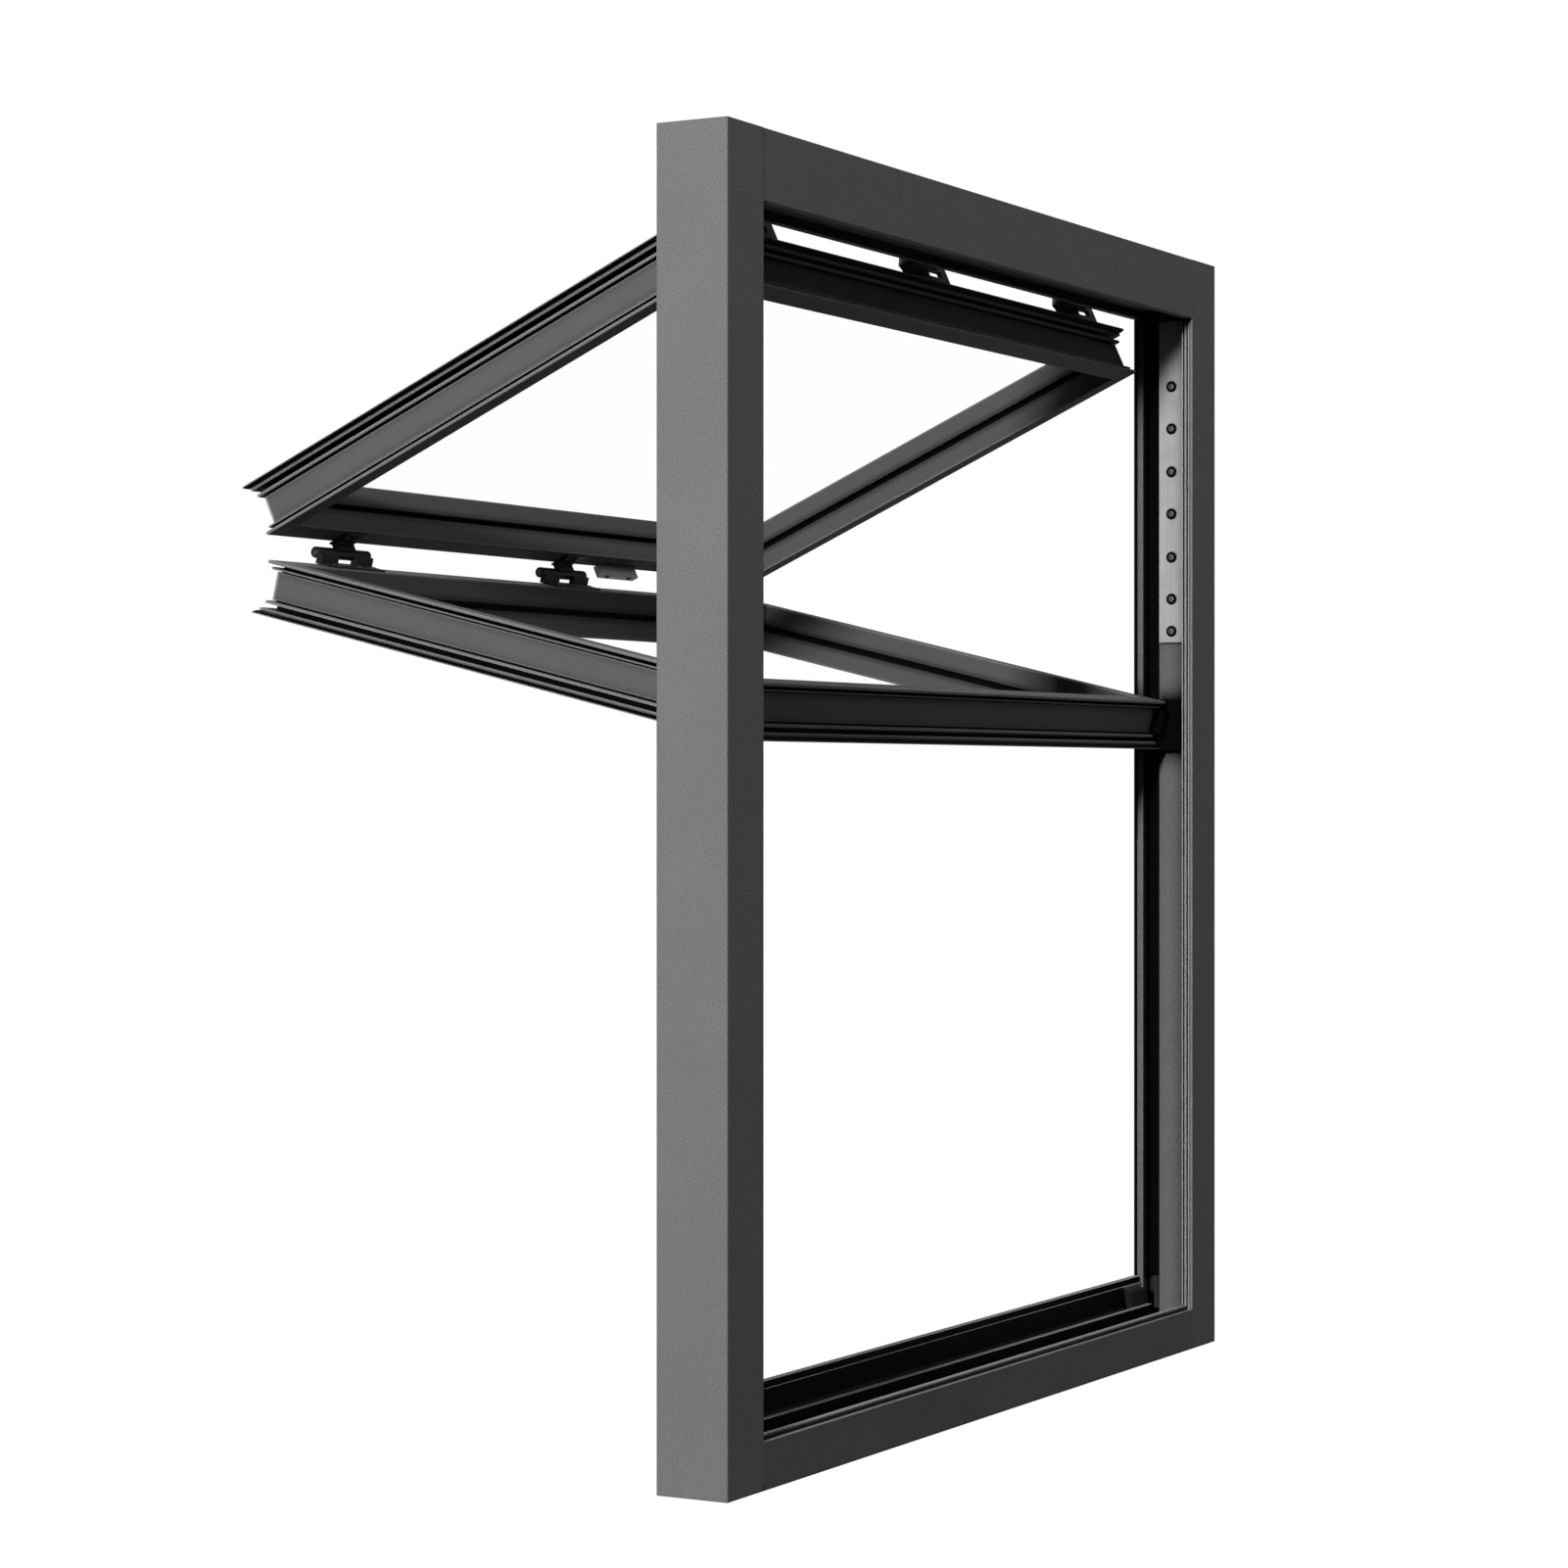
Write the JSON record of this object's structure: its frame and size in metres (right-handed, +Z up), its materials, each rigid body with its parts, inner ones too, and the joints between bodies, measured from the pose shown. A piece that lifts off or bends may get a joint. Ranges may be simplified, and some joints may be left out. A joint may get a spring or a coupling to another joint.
{
  "type": "concession window",
  "caption": "Fold-up serving window: rectangular dark aluminium frame with an upper and a lower glazed sash hinged together and folded half open to the outside.",
  "frame": {"origin": "centre of the underside of the frame, midway across its width and depth", "axes": "+X along the window to the right seen from inside, +Y out through the window to the side the sashes fold to, +Z up"},
  "size_m": [1.358, 0.7179, 1.5],
  "materials": {
    "frame_paint": "matt anthracite powder coat",
    "sash_paint": "matt anthracite powder coat",
    "hinge_paint": "satin black",
    "strip_aluminium": "mill finish, brushed along its length",
    "pin_steel": "blackened steel",
    "block_plastic": "matt dark grey moulding",
    "guide_plastic": "black low-friction moulding",
    "gasket_rubber": "black extruded seal",
    "pane_glass": "clear float glass"
  },
  "bodies": {
    "root": {"head": "frame_paint", "head_hinge_pins": "pin_steel", "head_seal": "gasket_rubber", "left_channel_strip": "strip_aluminium", "left_guide_carriage": "guide_plastic", "left_guide_pivot": "hinge_paint", "left_head_hinge_frame_leaf": "hinge_paint", "left_head_hinge_sash_leaf": "hinge_paint", "left_jamb": "frame_paint", "left_jamb_seal": "gasket_rubber", "left_mid_hinge_lower_leaf": "hinge_paint", "left_mid_hinge_upper_leaf": "hinge_paint", "left_sill_end_block": "block_plastic", "lower_sash_bottom_rail": "sash_paint", "lower_sash_glass": "pane_glass", "lower_sash_glazing_gasket": "gasket_rubber", "lower_sash_left_stile": "sash_paint", "lower_sash_right_stile": "sash_paint", "lower_sash_top_rail": "sash_paint", "meeting_rail_catch": "sash_paint", "mid_hinge_pins": "pin_steel", "middle_head_hinge_frame_leaf": "hinge_paint", "middle_head_hinge_sash_leaf": "hinge_paint", "middle_mid_hinge_lower_leaf": "hinge_paint", "middle_mid_hinge_upper_leaf": "hinge_paint", "right_channel_strip": "strip_aluminium", "right_guide_carriage": "guide_plastic", "right_guide_pivot": "hinge_paint", "right_head_hinge_frame_leaf": "hinge_paint", "right_head_hinge_sash_leaf": "hinge_paint", "right_jamb": "frame_paint", "right_jamb_seal": "gasket_rubber", "right_mid_hinge_lower_leaf": "hinge_paint", "right_mid_hinge_upper_leaf": "hinge_paint", "right_sill_end_block": "block_plastic", "sill": "frame_paint", "sill_seal": "gasket_rubber", "upper_sash_bottom_rail": "sash_paint", "upper_sash_glass": "pane_glass", "upper_sash_glazing_gasket": "gasket_rubber", "upper_sash_left_stile": "sash_paint", "upper_sash_right_stile": "sash_paint", "upper_sash_top_rail": "sash_paint"}
  },
  "joints": []
}
